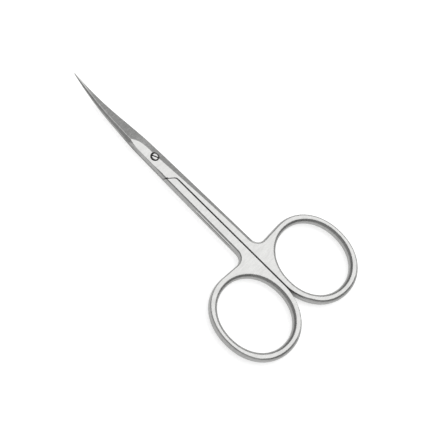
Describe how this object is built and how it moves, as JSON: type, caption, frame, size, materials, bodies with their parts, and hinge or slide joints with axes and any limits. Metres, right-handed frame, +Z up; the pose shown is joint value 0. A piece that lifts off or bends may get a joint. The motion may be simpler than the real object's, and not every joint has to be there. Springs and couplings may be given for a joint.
{
  "type": "nail scissors",
  "caption": "Slim nail scissors with upward curved pointed blades, oval finger rings and a slotted pivot screw; the halves open about the screw.",
  "frame": {"origin": "centre of the closed tool's bounding box in X and Y, on the plane it lies on", "axes": "+Y along the tool from the finger rings to the blade tips, +Z up out of the front face with the screw's head, +X towards the upper half's finger ring"},
  "size_m": [0.0446, 0.09, 0.005],
  "materials": {
    "upper_steel": "satin brushed, bright front flats with a fine cross grain",
    "lower_steel": "satin brushed, bright front flats with a fine cross grain",
    "screw_steel": "polished domed head with a driver slot"
  },
  "bodies": {
    "lower": {"lower_half": "lower_steel", "pivot_screw": "screw_steel"},
    "upper": {"upper_half": "upper_steel"}
  },
  "joints": [
    {"name": "pivot", "type": "hinge", "parent": "lower", "child": "upper", "pos_m": [0, 0.015, 0.0015], "axis": [0, 0, 1], "range_deg": [0, 130]}
  ]
}
